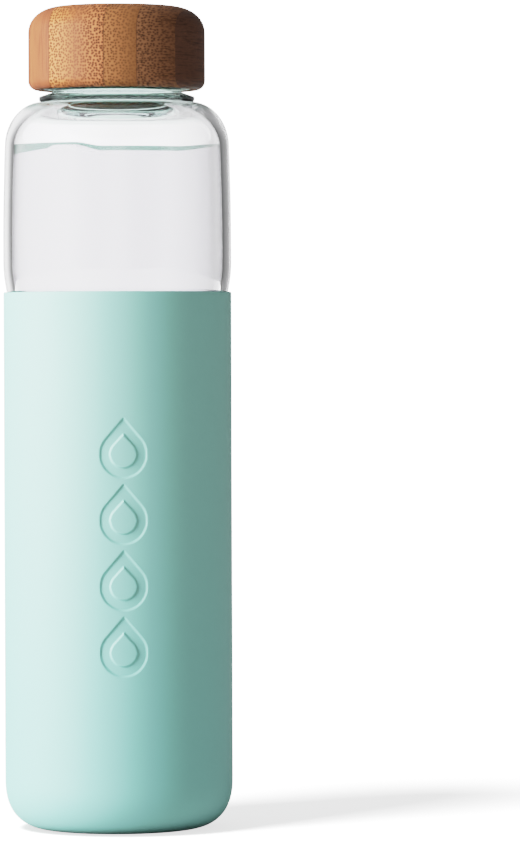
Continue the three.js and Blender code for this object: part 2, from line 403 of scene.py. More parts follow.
@dataclass(frozen=True)
class PlasticFinish:
    """Injection-moulded polypropylene with a satin skin."""

    name: str
    colour: Colour
    shade: Colour
    roughness: float = 0.42
    flow: float = 9 * MM
    flow_share: float = 0.1
    skin: float = 0.5 * MM
    skin_depth: float = 0.006 * MM
    glow_depth: float = 1.5 * MM

    def material(self) -> bpy.types.Material:
        """Makes the plastic, a little cloudy where it flowed into the mould.

        Returns:
            The material.
        """
        shader = Shader(self.name)
        place = shader.place()
        flow = shader.noise(place * (1.0, 1.0, 3.0), self.flow, 2.0)
        skin = shader.noise(place, self.skin, 2.0)
        return shader.dress(
            Base_Color=shader.mixed(flow * 0.5, self.colour, self.shade),
            Roughness=flow * self.flow_share + (self.roughness - self.flow_share / 2),
            Normal=shader.bump(skin, self.skin_depth),
            Subsurface_Weight=0.15,
            Subsurface_Radius=(1.0, 1.0, 0.9),
            Subsurface_Scale=self.glow_depth,
        )


@dataclass(frozen=True)
class BambooFinish:
    """One strip of pressed bamboo: long fibres whose cut ends show as dots, under a thin oil."""

    name: str
    light: Colour
    dark: Colour
    dot: Colour
    pale: Colour
    grain_turn: float
    offset: float
    dot_strength: float
    streak_strength: float
    streak_size: tuple[float, float]
    outer_side: float
    seed: float
    dot_spacing: float = 0.92 * MM
    dot_scatter: float = 0.8
    dot_edge: tuple[float, float] = (0.35, 0.14)
    halo_edge: tuple[float, float] = (0.36, 0.6)
    crowd_span: tuple[float, float] = (-5.5 * MM, 5 * MM)
    joint_span: tuple[float, float] = (4.7 * MM, 4.95 * MM)
    joint_share: float = 0.6
    streak_edge: tuple[float, float] = (0.5, 0.66)
    wander: float = 4 * MM
    dot_wander: float = 0.5 * MM
    crowd_wander: float = 3 * MM
    sparse_share: float = 0.2
    fine: float = 0.45 * MM
    fibre_stretch: float = 0.035
    streak_stretch: float = 0.02
    relief: float = 0.03 * MM
    roughness: float = 0.5
    fine_rough: float = 0.14
    dot_rough: float = 0.1

    def material(self) -> bpy.types.Material:
        """Makes the strip's wood, with its fibres along the strip.

        Returns:
            The material.
        """
        shader = Shader(self.name)
        x, y, z = shader.parts(shader.place())
        cos, sin = math.cos(self.grain_turn), math.sin(self.grain_turn)
        across = x * cos + y * sin - self.offset
        along = y * cos - x * sin
        outwards = across * self.outer_side
        # Fibres run along the strip, so its pattern hardly changes that way.
        fibre = shader.joined(along * self.fibre_stretch + self.seed, across, z)
        wander = shader.noise(fibre, self.wander, 2.0)
        fine = shader.noise(fibre, self.fine, 2.0)
        bundle = shader.node(
            "ShaderNodeTexVoronoi",
            {"voronoi_dimensions": "2D"},
            {
                "Vector": shader.joined(across + wander * self.dot_wander, z + self.seed, 0.0),
                "Scale": 1 / self.dot_spacing,
                "Randomness": self.dot_scatter,
            },
            "Distance",
        )
        # Bundles crowd together on the side of the strip that was the outside of the stalk.
        crowd = (outwards + wander * self.crowd_wander).smooth(*self.crowd_span)
        strength = (crowd * (1 - self.sparse_share) + self.sparse_share) * self.dot_strength
        dots = bundle.smooth(*self.dot_edge) * strength
        halo = bundle.smooth(*self.halo_edge) * strength
        wide, tall = self.streak_size
        shift = along * self.streak_stretch + self.seed
        streak = shader.noise(shader.joined(shift, across / wide, z / tall), 1.0)
        streak = streak.smooth(*self.streak_edge) * self.streak_strength
        base = shader.mixed(crowd, self.light, self.dark)
        base = shader.mixed(halo, base, self.pale)
        base = shader.mixed(streak, base, self.dot)
        base = shader.mixed(dots, base, self.dot)
        base = shader.mixed(outwards.smooth(*self.joint_span) * self.joint_share, base, self.dot)
        return shader.dress(
            Base_Color=base,
            Roughness=fine * self.fine_rough + dots * self.dot_rough + self.roughness,
            Normal=shader.bump(fine * 0.5 + (1 - dots) * 0.5, self.relief),
            Specular_IOR_Level=0.1,
            Coat_Weight=0.02,
            Coat_Roughness=0.4,
        )


# ---- Outlines and turned meshes ------------------------------------------------------------------


def grey(shade: float) -> Colour:
    """A colour with three equal parts."""
    return (shade, shade, shade)


def spaced(low: float, high: float, step: float) -> list[float]:
    """Even values from low to high, both included, no further apart than step."""
    count = max(1, math.ceil(abs(high - low) / step))
    return [low + (high - low) * i / count for i in range(count + 1)]


def quarter(
    radius: float, height: float, width: float, rise: float, steps: int, exponent: float = 2.0
) -> list[Point]:
    """A quarter of a superellipse, from straight above or below its centre out to its side.

    Args:
        radius: The centre's distance from the axis.
        height: The centre's height.
        width: How far it reaches out; negative reaches in.
        rise: How far it starts above the centre; negative starts below.
        steps: How many straight pieces stand for it.
        exponent: 2 for an ellipse, more for a squarer corner.

    Returns:
        Its points, as radius and height.
    """
    power = 2 / exponent
    points = []
    for i in range(steps + 1):
        turn = math.pi / 2 * i / steps
        out = 1.0 if i == steps else math.sin(turn) ** power
        up = 0.0 if i == steps else math.cos(turn) ** power
        points.append((radius + width * out, height + rise * up))
    return points


def filleted(corners: Sequence[tuple[float, float, float]], steps: int = 4) -> list[Point]:
    """An outline through corners, each rounded by its own radius.

    Args:
        corners: Radius, height and fillet of each corner, in order.
        steps: How many straight pieces each fillet has.

    Returns:
        The points of the outline.
    """
    points: list[Point] = []
    for i, (radius, height, fillet) in enumerate(corners):
        here = Vector((radius, height))
        if fillet <= 0 or i in (0, len(corners) - 1):
            points.append((radius, height))
            continue
        before = (Vector(corners[i - 1][:2]) - here).normalized()
        after = (Vector(corners[i + 1][:2]) - here).normalized()
        for k in range(steps + 1):
            share = k / steps
            spot = here + before * fillet * (1 - share) ** 2 + after * fillet * share**2
            points.append((spot.x, spot.y))
    return points


def smoothstep(share: Grid) -> Grid:
    """A soft step from 0 at 0 to 1 at 1."""
    share = np.clip(share, 0, 1)
    return share * share * (3 - 2 * share)


def share_of(value: Grid, span: Point) -> Grid:
    """How far values lie along a span, 0 at its start and 1 at its end."""
    return (value - span[0]) / (span[1] - span[0])


def around(segments: int) -> Grid:
    """Even angles all the way round, from the front."""
    return np.linspace(0, 2 * math.pi, segments, endpoint=False)


def turned(
    name: str,
    outline: Sequence[Point],
    angles: Grid,
    reshape: Reshape | None = None,
    closed: bool = False,
    second: range = range(0),
) -> bpy.types.Object:
    """Turns an outline round the bottle's axis into a smooth closed mesh.

    Args:
        name: The piece's name.
        outline: Points of radius and height, which start and end on the axis unless closed.
        angles: The angles of its columns, from the front (-Y) towards +X.
        reshape: Changes the grid's radii and heights, given radii, heights and angles.
        closed: True if the outline closes on itself and leaves the axis open.
        second: The outline's pieces that take the second material.

    Returns:
        The new object, in the scene.
    """
    points = np.array(outline, float)
    radius = np.repeat(points[:, :1], len(angles), axis=1)
    height = np.repeat(points[:, 1:], len(angles), axis=1)
    angle = np.repeat(angles[None, :], len(points), axis=0)
    if reshape is not None:
        radius, height = reshape(radius, height, angle)
    corners = np.stack((radius * np.sin(angle), -radius * np.cos(angle), height), axis=-1)
    rows, columns = radius.shape
    faces = []
    for i in range(rows if closed else rows - 1):
        for j in range(columns):
            k, n = (j + 1) % columns, (i + 1) % rows
            faces.append((i * columns + j, i * columns + k, n * columns + k, n * columns + j))
    mesh = bpy.data.meshes.new(name)
    mesh.from_pydata([tuple(c) for c in corners.reshape(-1, 3)], [], faces)
    shell = bmesh.new()
    shell.from_mesh(mesh)
    for i, face in enumerate(shell.faces):
        face.material_index = int(i // columns in second)
    bmesh.ops.remove_doubles(shell, verts=shell.verts, dist=MERGE)
    return finished(name, mesh, shell, sharp=40.0)


def finished(
    name: str, mesh: bpy.types.Mesh, shell: bmesh.types.BMesh, sharp: float
) -> bpy.types.Object:
    """Writes a bmesh to its mesh with faces out and smooth shading, and adds it to the scene.

    Args:
        name: The piece's name.
        mesh: The mesh to fill.
        shell: Its geometry, which is freed.
        sharp: The angle in degrees from which an edge looks sharp.

    Returns:
        The new object.
    """
    bmesh.ops.recalc_face_normals(shell, faces=shell.faces)
    shell.to_mesh(mesh)
    shell.free()
    mesh.shade_smooth()
    mesh.set_sharp_from_angle(angle=math.radians(sharp))
    piece = bpy.data.objects.new(name, mesh)
    bpy.context.scene.collection.objects.link(piece)
    return piece


def attach(
    piece: bpy.types.Object, body: Rider, replaced: str | None = None
) -> None:
    """Lets a piece ride on its body, and reports it.

    Args:
        piece: The piece.
        body: The body that it rides on.
        replaced: The CAD node that it stands for, if there is one.
    """
    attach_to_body(piece, body.value)
    if replaced is not None:
        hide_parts(replaced)
    LOG.info("%s rides on %s: %d faces", piece.name, body.value, len(piece.data.polygons))


# ---- The bottle's shared sizes -------------------------------------------------------------------


@dataclass(frozen=True)
class BottleSizes:
    """Sizes that more than one piece follows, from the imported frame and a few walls."""

    body_radius: float
    sleeve_top: float
    cap_bottom: float
    cap_top: float
    rim_top: float
    fit_gap: float = 0.3 * MM
    sleeve_wall: float = 1.7 * MM
    sleeve_base: float = 2 * MM
    corner_width: float = 15.5 * MM
    corner_height: float = 16.5 * MM
    corner_exponent: float = 2.4
    glass_wall: float = 2.85 * MM
    flare_below: float = 8.4 * MM
    flare_above: float = 9.6 * MM
    neck_radius: float = 21.2 * MM
    thread_pitch: float = 5 * MM
    thread_turns: float = 1.25
    thread_depth: float = 1.2 * MM
    thread_base: float = 2.2 * MM
    thread_drop: float = 2.4 * MM

    @classmethod
    def from_frame(cls) -> BottleSizes:
        """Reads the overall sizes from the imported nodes.

        Returns:
            The sizes.
        """
        sleeve_low, sleeve_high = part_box("silicone_sleeve")
        cap_low, cap_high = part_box("bamboo_strip_4")
        _, glass_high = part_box("glass_bottle")
        return cls(
            body_radius=(sleeve_high.x - sleeve_low.x) / 2,
            sleeve_top=sleeve_high.z,
            cap_bottom=cap_low.z,
            cap_top=cap_high.z,
            rim_top=glass_high.z,
        )

    @property
    def waist_radius(self) -> float:
        """Radius of the glass inside the sleeve."""
        return self.body_radius - self.sleeve_wall - self.fit_gap

    @property
    def corner_radius(self) -> float:
        """Radius at which the base starts to round up."""
        return self.body_radius - self.corner_width

    @property
    def thread_start(self) -> float:
        """Height at which the glass thread starts."""
        return self.rim_top - self.thread_drop - self.thread_pitch * self.thread_turns

    def flare_radius(self, height: float) -> float:
        """Radius of the glass where it swells from the sleeve's waist to the belly.

        Args:
            height: Height above the surface that the bottle stands on.

        Returns:
            The radius.
        """
        low = self.sleeve_top - self.flare_below
        share = min(1.0, max(0.0, (height - low) / (self.flare_below + self.flare_above)))
        swelling = (1 - math.cos(math.pi * share)) / 2
        return self.waist_radius + (self.body_radius - self.waist_radius) * swelling


# ---- Silicone sleeve -----------------------------------------------------------------------------


@dataclass
class Sleeve:
    """The silicone sleeve, with a column of sunk drops on its front."""

    sizes: BottleSizes
    foot_width: float = 9 * MM
    foot_height: float = 0.6 * MM
    foot_round: float = 0.2 * MM
    lip_round: float = 0.35 * MM
    drop_count: int = 4
    drop_pitch: float = 21.4 * MM
    drop_radius: float = 7.6 * MM
    drop_tip: float = 11.6 * MM
    raised_radius: float = 4.4 * MM
    raised_tip: float = 6.5 * MM
    drop_depth: float = 0.5 * MM
    drop_edge: float = 0.55 * MM
    drop_margin: float = 1 * MM
    column_rise: float = 3.6 * MM
    fine_step: float = 0.28 * MM
    coarse_step: float = 3.0 * MM
    flare_step: float = 1 * MM
    turn_step: float = math.radians(2.5)
    # The last colour is painted shade and bounce light at the sleeve's foot.
    finish: SiliconeFinish = SiliconeFinish(
        "mint_silicone", (0.315, 0.72, 0.63), (0.335, 0.74, 0.655), 0.55, foot_shade_and_bounce=(0.265, 0.69, 0.62)
    )

    @property
    def column_middle(self) -> float:
        """Height of the middle of the column of drops."""
        return self.sizes.sleeve_top / 2 + self.column_rise

    def outside(self) -> list[Point]:
        """Half section of the sleeve's outside, from the middle of its foot to the lip.

        Returns:
            The points.
        """
        s = self.sizes
        step = self.foot_height
        foot = s.corner_radius - self.foot_width
        corner = quarter(s.corner_radius, s.corner_height, s.corner_width, -s.corner_height,
                         steps=28, exponent=s.corner_exponent)
        low, high = self.column_span()
        wall = [
            *spaced(s.corner_height, low, self.coarse_step)[1:],
            *spaced(low, high, self.fine_step)[1:],
            *spaced(high, s.sleeve_top - self.lip_round, self.coarse_step)[1:],
        ]
        return [
            (0.0, step),
            (foot - 3 * step, step),
            *filleted([
                (foot - 1.2 * step, step, 0),
                (foot, 0.0, self.foot_round),
                (foot + 1 * MM, 0.0, 0),
            ]),
            *corner,
            *[(s.body_radius, z) for z in wall],
        ]

    def outline(self) -> list[Point]:
        """Half section of the sleeve, from the middle of its foot over the lip to its floor.

        Returns:
            The points.
        """
        s = self.sizes
        lip_inner = s.flare_radius(s.sleeve_top) + s.fit_gap
        lip_half = (s.body_radius - lip_inner) / 2
        lip_centre = s.sleeve_top - self.lip_round
        lip_out = quarter(s.body_radius - lip_half, lip_centre, lip_half, self.lip_round, steps=5)
        lip_in = quarter(lip_inner + lip_half, lip_centre, -lip_half, self.lip_round, steps=5)
        flare = spaced(lip_centre, s.sleeve_top - s.flare_below, self.flare_step)[1:]
        corner = quarter(s.corner_radius, s.corner_height, s.corner_width - s.sleeve_wall,
                         s.sleeve_base - s.corner_height, steps=20, exponent=s.corner_exponent)
        return [
            *self.outside(),
            *lip_out[::-1][1:],
            *lip_in[1:],
            *[(s.flare_radius(z) + s.fit_gap, z) for z in flare],
            *corner[::-1],
            (0.0, s.sleeve_base),
        ]

    def column_span(self) -> Point:
        """Lowest and highest height that the drops reach.

        Returns:
            The two heights.
        """
        half = (self.drop_count - 1) / 2 * self.drop_pitch
        low = self.column_middle - half - self.drop_radius - self.drop_margin
        return low, self.column_middle + half + self.drop_tip + self.drop_margin

    @staticmethod
    def drop_distance(across: Grid, up: Grid, radius: float, tip: float) -> Grid:
        """Signed distance to a drop's edge, below 0 inside it.

        Args:
            across: Distance sideways from the drop's middle.
            up: Height above the middle of its round foot.
            radius: Radius of the round foot.
            tip: Height of the point above the foot's middle.

        Returns:
            The distance at each place.
        """
        lean = radius / tip
        slope = math.sqrt(1 - lean**2)
        side = np.abs(across)
        along = slope * up - lean * side
        foot = np.hypot(side, up) - radius
        point = np.hypot(side, up - tip)
        flank = slope * side + lean * up - radius
        return np.where(along < 0, foot, np.where(along > slope * tip, point, flank))

    def sink(self, radius: Grid, height: Grid, angle: Grid) -> tuple[Grid, Grid]:
        """Presses the drops into the outside of the wall.

        Args:
            radius: Radii of the sleeve's points.
            height: Their heights.
            angle: Their angles from the front.

        Returns:
            The new radii, and the same heights.
        """
        across = self.sizes.body_radius * np.where(angle > math.pi, angle - 2 * math.pi, angle)
        outside = radius > self.sizes.body_radius - NEAR
        depth = np.zeros_like(radius)
        for i in range(self.drop_count):
            up = height - self.column_middle - (i - (self.drop_count - 1) / 2) * self.drop_pitch
            sunk = self.drop_distance(across, up, self.drop_radius, self.drop_tip)
            raised = self.drop_distance(across, up, self.raised_radius, self.raised_tip)
            depth += self.drop_depth * (self.edge(sunk) - self.edge(raised))
        return radius - np.where(outside, depth, 0.0), height

    def edge(self, distance: Grid) -> Grid:
        """A soft step from 0 outside a shape to 1 inside it."""
        return smoothstep(0.5 - distance / self.drop_edge)

    def angles(self) -> Grid:
        """Columns close together over the drops and further apart elsewhere.

        Returns:
            The angles from the front.
        """
        reach = (self.drop_radius + self.drop_margin) / self.sizes.body_radius
        front = spaced(-reach, reach, self.fine_step / self.sizes.body_radius)
        rest = spaced(reach, 2 * math.pi - reach, self.turn_step)[1:-1]
        return np.mod(np.array(front + rest), 2 * math.pi)

    def build(self) -> None:
        """Makes the sleeve and attaches it."""
        piece = turned("silicone_sleeve_skin", self.outline(), self.angles(), self.sink)
        piece.data.materials.append(self.finish.material())
        attach(piece, Rider.SLEEVE, "silicone_sleeve")


# ---- Glass and water -----------------------------------------------------------------------------


@dataclass
class Thread:
    """One raised screw thread on a round wall."""

    wall: float
    crest: float
    base: float
    tip: float
    start: float
    pitch: float
    turns: float
    first_turn: float = 0.0
    fade: float = 30 / 360

    def raise_wall(self, radius: Grid, height: Grid, angle: Grid) -> tuple[Grid, Grid]:
        """Raises the thread on its wall.

        Args:
            radius: Radii of the wall's points.
            height: Their heights.
            angle: Their angles from the front.

        Returns:
            The new radii, and the same heights.
        """
        share = np.zeros_like(radius)
        turn = (angle - math.pi / 2) / (2 * math.pi)
        flank = (self.base - self.tip) / 2
        last_lap = math.ceil(self.first_turn + self.turns)
        for lap in range(math.floor(self.first_turn) - 1, last_lap + 1):
            along = turn + lap - self.first_turn
            centre = self.start + self.pitch * along
            side = smoothstep((self.base / 2 - np.abs(height - centre)) / flank)
            ends = np.clip(np.minimum(along, self.turns - along) / self.fade, 0, 1)
            share = np.maximum(share, side * ends)
        on_wall = np.abs(radius - self.wall) < NEAR
        return np.where(on_wall, self.wall + (self.crest - self.wall) * share, radius), height


@dataclass
class GlassBody:
    """The glass, its water and the painted reflection along the water's rim."""

    sizes: BottleSizes
    floor: float = 6.7 * MM
    punt_height: float = 3 * MM
    punt_inset: float = 4 * MM
    belly_taper: float = 0.6 * MM
    belly_rise: float = 32 * MM
    shoulder_height: float = 14.9 * MM
    shoulder_wall: float = 1.5 * MM
    bead_reach: float = 4.4 * MM
    bead_slope: float = 1.5 * MM
    bead_edge: float = 1.1 * MM
    bead_undercut: float = 0.7 * MM
    bead_rounds: tuple[float, float, float] = (0.35 * MM, 0.4 * MM, 0.5 * MM)
    bead_to_cap: float = 0.8 * MM
    neck_root: float = 3 * MM
    neck_foot: float = 1 * MM
    rim_round: float = 1.5 * MM
    thread_tip: float = 1 * MM
    thread_step: float = 0.22 * MM
    tint_below: float = 2.6 * MM
    tint_above: float = 2.5 * MM
    segments: int = 160
    water_gap: float = 0.25 * MM
    water_level: float = 224.25 * MM
    meniscus: tuple[Point, ...] = ((0.0, 0.0), (0.3 * MM, 0.18 * MM), (0.8 * MM, 0.3 * MM))
    surface_drop: float = 0.35 * MM
    wave_height: float = 0.65 * MM
    wave_fall: Point = (-15 * MM, -6 * MM)
    wave_rise: Point = (17 * MM, 33 * MM)
    rim_mark: float = 2 * MM
    cling: float = 0.8 * MM
    cling_trough: float = 0.75 * MM
    cling_pool: float = 0.9 * MM
    cling_corner: float = 1.5 * MM
    pool_span: Point = (-20.5 * MM, -23.5 * MM)
    corner_span: Point = (-22 * MM, -32 * MM)
    # Its darker green over the bead and neck is partly thicker glass, partly painted shade under the
    # cap.
    glass: GlassFinish = GlassFinish(
        "clear_glass", (0.925, 0.925, 0.94), ior=1.5, thick_tint_and_shade=(0.3, 0.4, 0.365)
    )
    # The water bends light hardly more than air does, so that what is behind it stays in place.
    water: GlassFinish = GlassFinish("still_water", (0.57, 0.56, 0.6), ior=1.001)
    # A painted reflection: a dark teal band along the front of the water's rim, at the waterline.
    rim: GlassFinish = GlassFinish("water_rim_painted_reflection", (0.026, 0.08, 0.056), ior=1.001)

    @property
    def bead_top(self) -> float:
        """Top of the bead under the cap."""
        return self.sizes.cap_bottom - self.bead_to_cap

    @property
    def shoulder_top(self) -> float:
        """Height at which the shoulder meets the bead's underside."""
        return self.bead_top - self.bead_slope - self.bead_edge - self.bead_undercut

    @property
    def shoulder_base(self) -> float:
        """Height at which the belly turns into the shoulder."""
        return self.shoulder_top - self.shoulder_height

    @property
    def belly_top(self) -> float:
        """Radius of the glass where the shoulder starts."""
        return self.sizes.body_radius - self.belly_taper

    def belly(self, offset: float) -> list[Point]:
        """The belly, which narrows a little on its way up to the shoulder.

        Args:
            offset: How far out its points are moved.

        Returns:
            The points, upwards.
        """
        points = []
        for height in spaced(self.shoulder_base - self.belly_rise, self.shoulder_base, 2 * MM):
            share = 1 - (self.shoulder_base - height) / self.belly_rise
            narrowing = self.belly_taper * (1 - math.cos(share * math.pi / 2))
            points.append((self.sizes.body_radius - narrowing + offset, height))
        return points

    def flare(self, offset: float) -> list[Point]:
        """The swelling from the waist to the belly.

        Args:
            offset: How far out its points are moved.

        Returns:
            The points, upwards.
        """
        s = self.sizes
        heights = spaced(s.sleeve_top - s.flare_below, s.sleeve_top + s.flare_above, 1.5 * MM)
        return [(s.flare_radius(z) + offset, z) for z in heights]

    def outside(self) -> list[Point]:
        """The outside of the glass, from the middle of its base up to the foot of the neck.

        Returns:
            The points.
        """
        s = self.sizes
        base = s.sleeve_base + s.fit_gap
        bead = s.neck_radius + self.bead_reach
        foot = bead - self.bead_undercut
        edge = self.bead_top - self.bead_slope
        low_round, high_round, neck_round = self.bead_rounds
        punt = quarter(0.0, base, s.corner_radius - self.punt_inset, self.punt_height, steps=12)
        corner = quarter(s.corner_radius, s.corner_height, s.waist_radius - s.corner_radius,
                         base - s.corner_height, steps=20, exponent=s.corner_exponent)
        shoulder = quarter(foot, self.shoulder_base, self.belly_top - foot, self.shoulder_height,
                           steps=28)
        bead_corners = filleted([
            (foot, self.shoulder_top, 0),
            (bead, edge - self.bead_edge, low_round),
            (bead, edge, high_round),
            (s.neck_radius, self.bead_top, neck_round),
            (s.neck_radius, self.bead_top + self.neck_foot, 0),
        ])
        wall = [*self.flare(0), *self.belly(0)[1:], *shoulder[::-1][1:]]
        return [*punt, *corner, *wall, *bead_corners[1:]]

    def neck(self) -> list[Point]:
        """The threaded neck and its rounded rim, down to the bore.

        Returns:
            The points.
        """
        s = self.sizes
        half = s.glass_wall / 2
        middle = s.neck_radius - half
        top = s.rim_top - self.rim_round
        wall = spaced(self.bead_top + self.neck_foot, top, self.thread_step)[1:-1]
        return [
            *[(s.neck_radius, z) for z in wall],
            *quarter(middle, top, half, self.rim_round, steps=8)[::-1],
            *quarter(middle, top, -half, self.rim_round, steps=8)[1:],
        ]

    def inside(self, inset: float = 0.0) -> list[Point]:
        """The inside wall from the neck's root down to the floor's middle.

        Args:
            inset: How far in from the wall its points are moved.

        Returns:
            The points.
        """
        s = self.sizes
        wall = s.glass_wall + inset
        floor = s.sleeve_base + s.fit_gap + self.floor + inset
        root = s.neck_radius - s.glass_wall + self.neck_root
        vault = self.shoulder_top - self.shoulder_wall
        shoulder = quarter(root, self.shoulder_base, self.belly_top - wall - root,
                           vault - self.shoulder_base, steps=24)
        corner = quarter(s.corner_radius, s.corner_height, s.waist_radius - wall - s.corner_radius,
                         floor - s.corner_height, steps=20, exponent=s.corner_exponent)
        bend = self.neck_root
        bore_foot = quarter(root, vault + bend, -bend, -bend, steps=10)
        return [
            *bore_foot[::-1],
            *shoulder[1:],
            *self.belly(-wall)[::-1][1:],
            *self.flare(-wall)[::-1][1:],
            *corner[::-1],
            (0.0, floor),
        ]

    def wave(self, across: Grid) -> tuple[Grid, Grid]:
        """The gentle wave that crosses the water.

        Args:
            across: Distance to the right of the axis.

        Returns:
            The wave's height over the level, and how far down it clings to the wall.
        """
        fall = smoothstep(share_of(across, self.wave_fall))
        rise = smoothstep(share_of(across, self.wave_rise))
        pool = smoothstep(share_of(across, self.pool_span))
        corner = np.clip(share_of(across, self.corner_span), 0, 1)
        height = self.wave_height * (1 - 2 * fall + 2 * rise)
        cling = self.cling + self.cling_trough * (fall - rise)
        return height, cling + self.cling_pool * pool + self.cling_corner * corner

    def float_water(self, radius: Grid, height: Grid, angle: Grid) -> tuple[Grid, Grid]:
        """Lays the water's rim and surface on its wave.

        Args:
            radius: Radii of the water's points.
            height: Their heights.
            angle: Their angles from the front.

        Returns:
            The same radii, and the new heights.
        """
        lift, cling = self.wave(radius * np.sin(angle))
        top = self.water_level + lift
        surface = height > self.water_level - self.rim_mark / 2
        foot = ~surface & (height > self.water_level - 1.5 * self.rim_mark)
        return radius, np.where(surface, height + lift, np.where(foot, top - cling, height))

    def build_glass(self) -> bpy.types.Object:
        """Makes the glass with its thread and attaches it.

        Returns:
            The glass.
        """
        s = self.sizes
        thread = Thread(
            wall=s.neck_radius,
            crest=s.neck_radius + s.thread_depth,
            base=s.thread_base,
            tip=self.thread_tip,
            start=s.thread_start,
            pitch=s.thread_pitch,
            turns=s.thread_turns,
        )
        outline = [*self.outside(), *self.neck(), *self.inside()]
        glass = turned("glass_body", outline, around(self.segments), thread.raise_wall)
        # The bead and the neck's root are the thickest glass that shows.
        # Their darker green is partly that thickness and partly painted shade under the cap.
        span = (self.shoulder_top - self.tint_below, s.cap_bottom + self.tint_above)
        glass.data.materials.append(replace(self.glass, thick_and_shade_span=span).material())
        attach(glass, Rider.BOTTLE, "glass_bottle")
        return glass

    def build_water(self) -> bpy.types.Object:
        """Makes the water, whose rim carries a painted reflection at the front, and attaches it.

        Returns:
            The water.
        """
        level = self.water_level
        foot = level - 2.5 * self.rim_mark
        wall = [point for point in self.inside(self.water_gap)[::-1] if point[1] < foot]
        edge = wall[-1][0]
        top = [
            (edge, level - self.rim_mark),
            *[(edge - inwards, level - drop) for inwards, drop in self.meniscus],
            *[(r, level - self.surface_drop) for r in spaced(edge - 2 * MM, 0.0, 3 * MM)],
        ]
        rim = range(len(wall), len(wall) + 1)
        piece = turned("water", [*wall, *top], around(self.segments), self.float_water, second=rim)
        # Only the front of the rim carries the painted reflection.
        for face in piece.data.polygons:
            if face.center.y > 0:
                face.material_index = 0
        piece.data.materials.append(self.water.material())
        piece.data.materials.append(self.rim.material())
        attach(piece, Rider.BOTTLE)
        return piece

    def build(self) -> list[bpy.types.Object]:
        """Makes the glass and what is in it."""
        return [self.build_glass(), self.build_water()]


# ---- Cap -----------------------------------------------------------------------------------------


# Width across the fibres and height of a streak: along the stalk's rings, or flat across the strip.
TALL_STREAK = (0.9 * MM, 12 * MM)
WIDE_STREAK = (2.2 * MM, 0.55 * MM)


@dataclass(frozen=True)
class Strip:
    """How one strip of the cap differs from the others: partly as its part of the stalk did, partly
    by painted shade on the strips to the right.
    """

    light: Colour
    dark: Colour
    pale: Colour
    dots: float
    streaks: float
    outer_side: float = 1
    streak_size: tuple[float, float] = TALL_STREAK


# Tones darken towards the right-hand strips: partly the bamboo's own tones, partly painted shade on
# the cap's side away from the key.
STRIP_TONES_AND_SHADE = {
    1: Strip((0.30, 0.088, 0.034), (0.25, 0.07, 0.028), (0.2, 0.06, 0.025), 0.1, 0.3),
    2: Strip((0.30, 0.092, 0.036), (0.26, 0.076, 0.03), (0.2, 0.06, 0.025), 0.08, 0.25),
    3: Strip((0.26, 0.083, 0.031), (0.31, 0.098, 0.027), (0.52, 0.165, 0.055), 1.0, 0.0,
             outer_side=-1),
    4: Strip((0.255, 0.082, 0.031), (0.25, 0.082, 0.029), (0.46, 0.155, 0.058), 1.0, 0.0),
    5: Strip((0.26, 0.094, 0.031), (0.255, 0.093, 0.031), (0.38, 0.145, 0.05), 0.75, 0.1,
             outer_side=-1),
    6: Strip((0.2, 0.08, 0.036), (0.225, 0.09, 0.038), (0.32, 0.13, 0.056), 0.85, 0.6,
             outer_side=-1, streak_size=WIDE_STREAK),
    7: Strip((0.12, 0.052, 0.03), (0.1, 0.043, 0.025), (0.14, 0.06, 0.03), 0.25, 0.4,
             streak_size=WIDE_STREAK),
}


